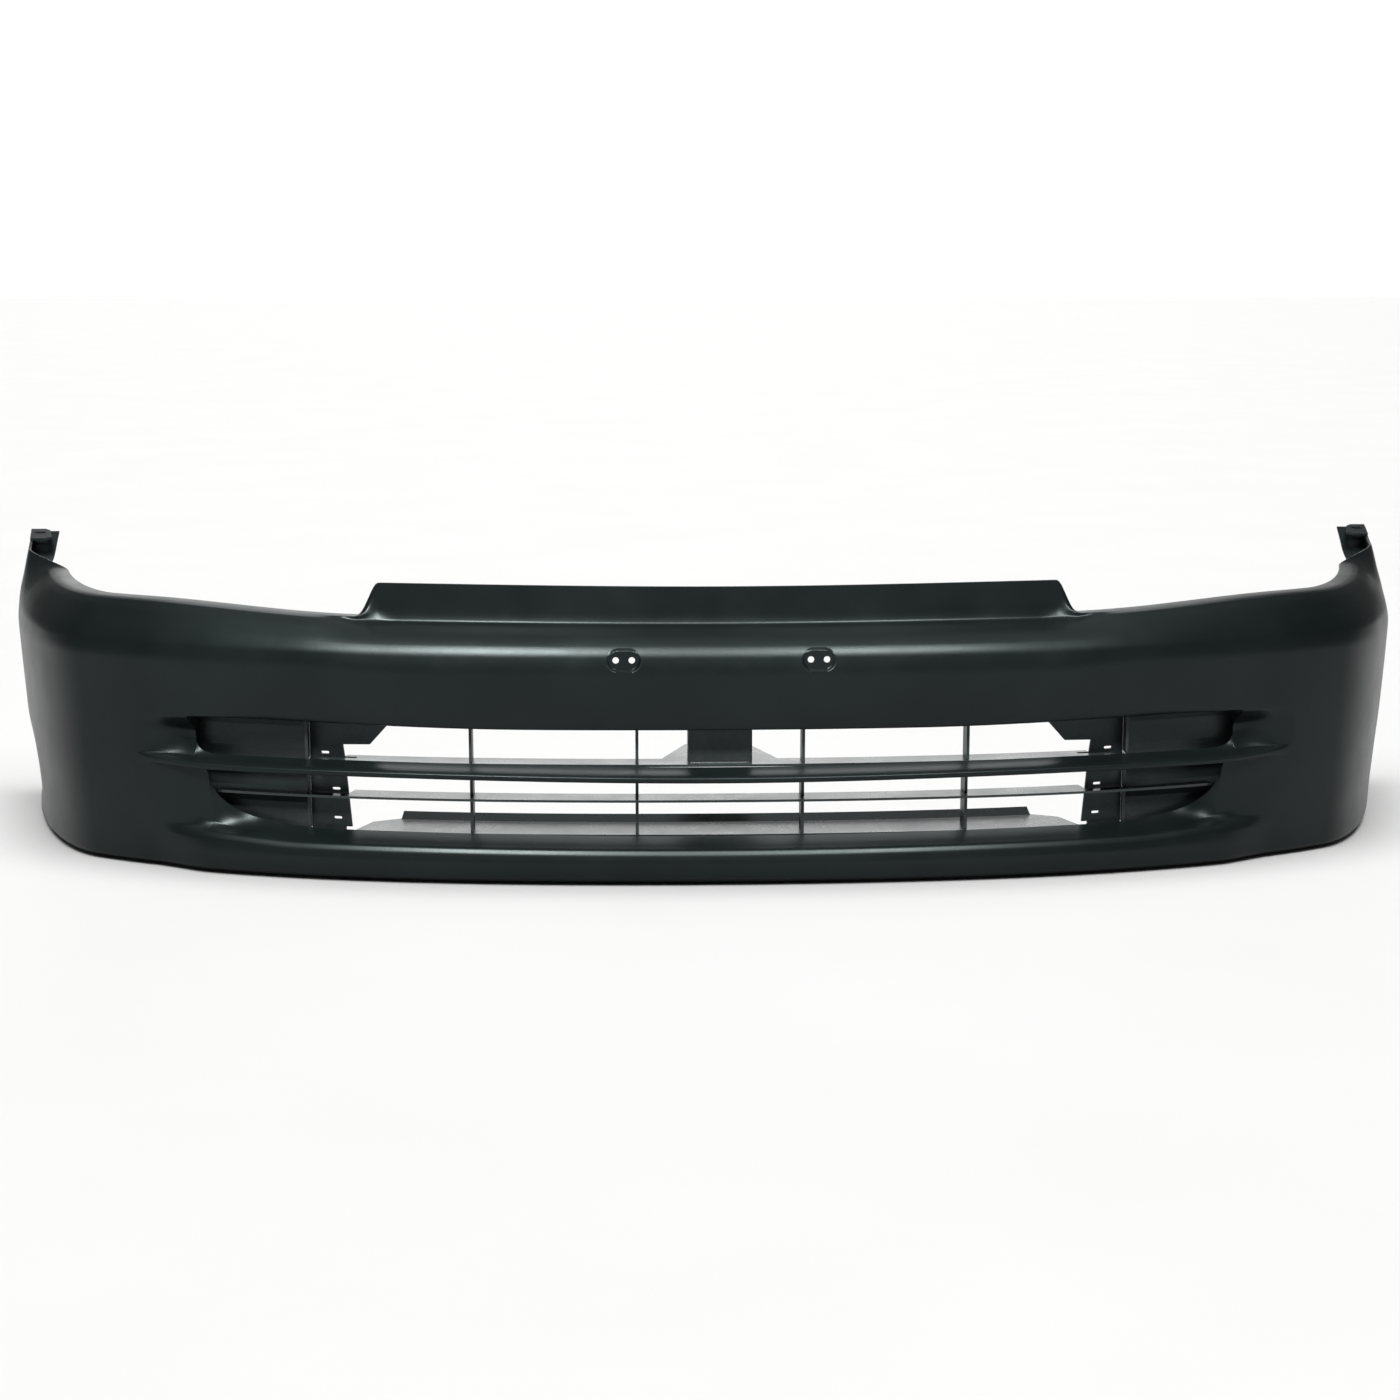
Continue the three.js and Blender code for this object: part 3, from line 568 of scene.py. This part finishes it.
def skin_sheet():
    """(points, faces) of the skin's outer face, both halves, with coinciding points shared."""
    upper, lower, bottom = dense_rows()
    right = dent_pads(skin_grid())
    keep = np.ones((right.shape[0] - 1, right.shape[1] - 1), bool)
    keep[:, upper] = False
    keep[:, lower] = False
    arch_return = right.shape[0] - 1 - FILLET_COLUMNS - RETURN_COLUMNS
    keep[arch_return:, bottom:] = False
    right, keep = plate_hole_cells(right, keep)
    left = right[1:][::-1] * np.array([-1, 1, 1])
    grid = np.concatenate([left, right])
    keep = np.concatenate([keep[::-1], keep])
    return weld(grid, keep)


def weld(grid, keep):
    """(points, faces) of the kept cells of a grid, with coinciding points shared."""
    keys, points, faces = {}, [], []
    ids = np.empty(grid.shape[:2], int)
    for c in range(grid.shape[0]):
        for r in range(grid.shape[1]):
            key = tuple(np.round(grid[c, r], WELD_DECIMALS))
            if key not in keys:
                keys[key] = len(points)
                points.append(grid[c, r])
            ids[c, r] = keys[key]
    for c, r in zip(*np.nonzero(keep)):
        loop = [ids[c, r], ids[c, r + 1], ids[c + 1, r + 1], ids[c + 1, r]]
        loop = [v for i, v in enumerate(loop) if v != loop[i - 1]]
        if len(set(loop)) == len(loop) > 2:
            faces.append([int(v) for v in loop])
    used = sorted({v for face in faces for v in face})
    number = {old: new for new, old in enumerate(used)}
    return np.array([points[v] for v in used]), [[number[v] for v in face] for face in faces]


def thicken(points, faces, wall):
    """A closed shell round a sheet, with rounded rims along its free edges."""
    normals = np.zeros_like(points)
    outward = np.zeros_like(points)
    half = {}
    for face in faces:
        p = points[face]
        if len(face) == 4:
            n = np.cross(p[2] - p[0], p[3] - p[1])
        else:
            n = np.cross(p[1] - p[0], p[2] - p[0])
        n = n / max(np.linalg.norm(n), TINY)
        for i, v in enumerate(face):
            normals[v] += n
            half[(v, face[(i + 1) % len(face)])] = n
    normals /= np.maximum(np.linalg.norm(normals, axis=1), TINY)[:, None]
    free = [edge for edge in half if (edge[1], edge[0]) not in half]
    for a, b in free:
        side = np.cross(points[b] - points[a], half[(a, b)])
        side /= max(np.linalg.norm(side), TINY)
        outward[a] += side
        outward[b] += side
    rim = sorted({v for edge in free for v in edge})
    outward[rim] /= np.maximum(np.linalg.norm(outward[rim], axis=1), TINY)[:, None]
    inner = points - normals * wall
    inner[:, 2] = np.maximum(inner[:, 2], 0)
    count = len(points)
    middle = {v: (2 * count + 2 * i, 2 * count + 2 * i + 1) for i, v in enumerate(rim)}
    bulge = []
    for v in rim:
        for k in RIM_KNOTS:
            bulge.append(mix(points[v], inner[v], k) + outward[v] * RIM_BULGE)
    bulge = np.array(bulge)
    bulge[:, 2] = np.maximum(bulge[:, 2], 0)
    everything = [list(face) for face in faces]
    everything += [[v + count for v in reversed(face)] for face in faces]
    for a, b in free:
        line_a = (a, *middle[a], a + count)
        line_b = (b, *middle[b], b + count)
        for k in range(3):
            everything.append([line_b[k], line_a[k], line_a[k + 1], line_b[k + 1]])
    return np.concatenate([points, inner, bulge]), everything


def make_mesh(name, points, faces, material):
    mesh = bpy.data.meshes.new(name)
    mesh.from_pydata([tuple(p) for p in place(points)], [], faces)
    mesh.validate()
    work = bmesh.new()
    work.from_mesh(mesh)
    limit = math.radians(SHARP_ANGLE)
    for face in work.faces:
        face.smooth = True
    for edge in work.edges:
        if len(edge.link_faces) == 2:
            edge.smooth = edge.calc_face_angle(0) < limit
    work.to_mesh(mesh)
    work.free()
    piece = bpy.data.objects.new(name, mesh)
    bpy.context.scene.collection.objects.link(piece)
    mesh.materials.append(material)
    return piece


# ---- materials ----
def shader(name, base, roughness, specular, tint=(1, 1, 1)):
    material = bpy.data.materials.new(name)
    material.use_nodes = True
    nodes = material.node_tree.nodes
    bsdf = nodes["Principled BSDF"]
    bsdf.inputs["Base Color"].default_value = (*base, 1)
    bsdf.inputs["Roughness"].default_value = roughness
    bsdf.inputs["Specular IOR Level"].default_value = specular
    bsdf.inputs["Specular Tint"].default_value = (*tint, 1)
    return material, nodes, material.node_tree.links, bsdf


def noise(nodes, links, coords, scale, detail, roughness=0.5):
    texture = nodes.new("ShaderNodeTexNoise")
    texture.inputs["Scale"].default_value = scale
    texture.inputs["Detail"].default_value = detail
    texture.inputs["Roughness"].default_value = roughness
    links.new(coords, texture.inputs["Vector"])
    return texture.outputs["Fac"]


def remap(nodes, links, value, low, high, out_low, out_high):
    node = nodes.new("ShaderNodeMapRange")
    node.inputs["From Min"].default_value = low
    node.inputs["From Max"].default_value = high
    node.inputs["To Min"].default_value = out_low
    node.inputs["To Max"].default_value = out_high
    links.new(value, node.inputs["Value"])
    return node.outputs["Result"]


COOL_TINT = (0.86, 1.0, 0.99)  # of the gloss
# Noises as (scale per metre, detail) and for the sheen also roughness.
CLOUD_NOISE = (9, 4)
SPECK_NOISE = (160, 2)
SHEEN_NOISE = (22, 5, 0.6)
PORE_NOISE = (900, 2)
DIMPLE_NOISE = (260, 3)
TONE_STOPS = (0.35, 0.68)  # cloud noise at the dark and at the light tone
WORN_EDGES = (0.54, 0.62, 0.0, 0.55)  # pointiness from and to, wear from and to
SHEEN_SPAN = (0.3, 0.7)  # sheen noise at the least and at the most roughness
GRAIN_DEPTH = 0.0004  # metres


def moulded_plastic(name, dark, light, worn, rough, grain, specular):
    """Moulded polypropylene: cloudy tone, uneven sheen, fine grain, and edges rubbed paler."""
    material, nodes, links, bsdf = shader(name, dark, rough[0], specular, COOL_TINT)
    coords = nodes.new("ShaderNodeTexCoord").outputs["Object"]
    cloud = noise(nodes, links, coords, *CLOUD_NOISE)
    tone = nodes.new("ShaderNodeValToRGB")
    for stop, position, colour in zip(tone.color_ramp.elements, TONE_STOPS, (dark, light)):
        stop.position = position
        stop.color = (*colour, 1)
    links.new(cloud, tone.inputs["Fac"])
    point = nodes.new("ShaderNodeNewGeometry").outputs["Pointiness"]
    edge = remap(nodes, links, point, *WORN_EDGES)
    speck = noise(nodes, links, coords, *SPECK_NOISE)
    rub = nodes.new("ShaderNodeMath")
    rub.operation = "MULTIPLY"
    links.new(edge, rub.inputs[0])
    links.new(speck, rub.inputs[1])
    worn_mix = nodes.new("ShaderNodeMix")
    worn_mix.data_type = "RGBA"
    links.new(rub.outputs["Value"], worn_mix.inputs["Factor"])
    links.new(tone.outputs["Color"], worn_mix.inputs["A"])
    worn_mix.inputs["B"].default_value = (*worn, 1)
    links.new(worn_mix.outputs["Result"], bsdf.inputs["Base Color"])
    sheen = noise(nodes, links, coords, *SHEEN_NOISE)
    links.new(remap(nodes, links, sheen, *SHEEN_SPAN, *rough), bsdf.inputs["Roughness"])
    pores = noise(nodes, links, coords, *PORE_NOISE)
    dimple = noise(nodes, links, coords, *DIMPLE_NOISE)
    height = nodes.new("ShaderNodeMath")
    height.operation = "ADD"
    links.new(pores, height.inputs[0])
    links.new(dimple, height.inputs[1])
    bump = nodes.new("ShaderNodeBump")
    bump.inputs["Strength"].default_value = grain
    bump.inputs["Distance"].default_value = GRAIN_DEPTH
    links.new(height.outputs["Value"], bump.inputs["Height"])
    links.new(bump.outputs["Normal"], bsdf.inputs["Normal"])
    return material


SKIN = moulded_plastic(
    "satin_charcoal_skin", dark=(0.0022, 0.0034, 0.0035), light=(0.0036, 0.0052, 0.0053),
    worn=(0.026, 0.031, 0.031), rough=(0.3, 0.37), grain=0.12, specular=0.21)
GRILLE = moulded_plastic(
    "grained_grille_plastic", dark=(0.01, 0.0135, 0.0135), light=(0.017, 0.0215, 0.0215),
    worn=(0.05, 0.055, 0.055), rough=(0.25, 0.33), grain=0.25, specular=0.5)
PANEL = moulded_plastic(
    "matt_black_panel_plastic", dark=(0.005, 0.0068, 0.007), light=(0.009, 0.0115, 0.0118),
    worn=(0.035, 0.04, 0.041), rough=(0.4, 0.5), grain=0.35, specular=0.35)

NORMAL_WEIGHT = 50
# Rounding of the CAD nodes' edges: radius in metres, segments, least angle in degrees.
EDGE_ROUND, EDGE_SEGMENTS, EDGE_ANGLE = 0.0005, 2, 40


def even_normals(piece):
    weighted = piece.modifiers.new("even_normals", "WEIGHTED_NORMAL")
    weighted.keep_sharp = True
    weighted.weight = NORMAL_WEIGHT


# ---- skin ----
sheet_points, sheet_faces = skin_sheet()
shell_points, shell_faces = thicken(sheet_points, sheet_faces, WALL)
skin = make_mesh("bumper_skin_shell", shell_points, shell_faces, SKIN)
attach(skin, "root")
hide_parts("cover_skin")
even_normals(skin)

# ---- CAD nodes that stay ----
for name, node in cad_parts.items():
    if name == "cover_skin":
        continue
    if name.startswith("grille") and "rib" not in name:
        finish = GRILLE
    elif name.startswith("fender"):
        finish = SKIN
    else:
        finish = PANEL
    if not node.material_slots:
        node.data.materials.append(finish)
    for material_slot in node.material_slots:
        material_slot.material = finish
    rounding = node.modifiers.new("rounded_edges", "BEVEL")
    rounding.width = EDGE_ROUND
    rounding.segments = EDGE_SEGMENTS
    rounding.limit_method = "ANGLE"
    rounding.angle_limit = math.radians(EDGE_ANGLE)
    even_normals(node)


# ---- floor, light and camera, in metres ----
FLOOR_HALF = 30
FLOOR_Z = -0.0005  # just under the part, so that the two never share a plane
FLOOR_BASE, FLOOR_ROUGHNESS, FLOOR_SPECULAR = (0.82, 0.82, 0.81), 0.7, 0.2
FLOOR_NOISE = (3, 3)
FLOOR_TONES = ((0.80, 0.80, 0.795, 1), (0.84, 0.84, 0.835, 1))
# The world is bright straight behind the part and overhead: direction from and to, light
# from and to.
BACKDROP = (0.92, 0.965, 0.09, 2.4)
CEILING = (0.80, 0.98, 0.0, 0.9)
# Place, aim, (width, height), power in watts. These light everything but the floor.
SOFTBOXES = {
    "left_softbox": ((-0.61, -1.40, 1.70), (-0.32, -0.27, 0.24), (0.5, 0.5), 88),
    "right_softbox": ((0.47, -1.40, 1.70), (0.22, -0.27, 0.24), (0.5, 0.5), 48),
    "rear_softbox": ((0, 2.1, 1.9), (0, 0, 0.2), (2.4, 0.9), 18),
}
# The floor's own light: place, aim, strength, spread in degrees.
FLOOR_WASH = ((0, -0.6, 3), (0, -0.2, 0), 2.95, 50)
# The camera fitted to the photo: its place, and its tilt and turn in degrees.
CAMERA_PLACE = (-0.0974, -2.6794, 0.6317)
CAMERA_TILT, CAMERA_TURN = 79.6, -1.81
CAMERA_LENS, CAMERA_SENSOR, CAMERA_REACH = 63.26, 36, 100


def floor_material():
    material, nodes, links, bsdf = shader(
        "pale_floor", FLOOR_BASE, FLOOR_ROUGHNESS, FLOOR_SPECULAR)
    coords = nodes.new("ShaderNodeTexCoord").outputs["Object"]
    shade = noise(nodes, links, coords, *FLOOR_NOISE)
    ramp = nodes.new("ShaderNodeValToRGB")
    for stop, colour in zip(ramp.color_ramp.elements, FLOOR_TONES):
        stop.color = colour
    links.new(shade, ramp.inputs["Fac"])
    links.new(ramp.outputs["Color"], bsdf.inputs["Base Color"])
    return material


def add_floor():
    mesh = bpy.data.meshes.new("studio_floor")
    signs = ((-1, -1), (1, -1), (1, 1), (-1, 1))
    corners = [(x * FLOOR_HALF, y * FLOOR_HALF, FLOOR_Z) for x, y in signs]
    mesh.from_pydata(corners, [], [(0, 1, 2, 3)])
    floor = bpy.data.objects.new("studio_floor", mesh)
    mesh.materials.append(floor_material())
    bpy.context.scene.collection.objects.link(floor)
    return floor


def link_light(lamp, location, target, floor, state):
    """Puts a lamp in the scene and makes it light only the floor, or everything but the floor."""
    lamp.location = location
    lamp.rotation_euler = (Vector(target) - Vector(location)).to_track_quat("-Z", "Y").to_euler()
    bpy.context.scene.collection.objects.link(lamp)
    linked = bpy.data.collections.new(lamp.name + "_receivers")
    linked.objects.link(floor)
    lamp.light_linking.receiver_collection = linked
    linked.collection_objects[0].light_linking.link_state = state


def add_softbox(name, location, target, size, power, floor):
    light = bpy.data.lights.new(name, "AREA")
    light.shape = "RECTANGLE"
    light.size, light.size_y = size
    light.energy = power
    link_light(bpy.data.objects.new(name, light), location, target, floor, "EXCLUDE")


def add_floor_wash(location, target, energy, spread_degrees, floor):
    light = bpy.data.lights.new("floor_wash", "SUN")
    light.energy = energy
    light.angle = math.radians(spread_degrees)
    link_light(bpy.data.objects.new("floor_wash", light), location, target, floor, "INCLUDE")


def add_world():
    world = bpy.data.worlds.new("studio")
    bpy.context.scene.world = world
    world.use_nodes = True
    nodes, links = world.node_tree.nodes, world.node_tree.links
    background = nodes["Background"]
    direction = nodes.new("ShaderNodeTexCoord").outputs["Generated"]
    split = nodes.new("ShaderNodeSeparateXYZ")
    links.new(direction, split.inputs["Vector"])
    backdrop = remap(nodes, links, split.outputs["Y"], *BACKDROP)
    ceiling = remap(nodes, links, split.outputs["Z"], *CEILING)
    total = nodes.new("ShaderNodeMath")
    links.new(backdrop, total.inputs[0])
    links.new(ceiling, total.inputs[1])
    links.new(total.outputs["Value"], background.inputs["Color"])
    background.inputs["Strength"].default_value = 1.0


def add_camera():
    camera = bpy.data.cameras.new("photo_camera")
    camera.sensor_width = CAMERA_SENSOR
    camera.lens = CAMERA_LENS
    camera.clip_end = CAMERA_REACH
    holder = bpy.data.objects.new("photo_camera", camera)
    holder.location = CAMERA_PLACE
    holder.rotation_euler = (math.radians(CAMERA_TILT), 0, math.radians(CAMERA_TURN))
    bpy.context.scene.collection.objects.link(holder)
    bpy.context.scene.camera = holder


studio_floor = add_floor()
add_world()
for name, settings in SOFTBOXES.items():
    add_softbox(name, *settings, studio_floor)
add_floor_wash(*FLOOR_WASH, studio_floor)
add_camera()
bpy.context.scene.view_settings.view_transform = "Standard"
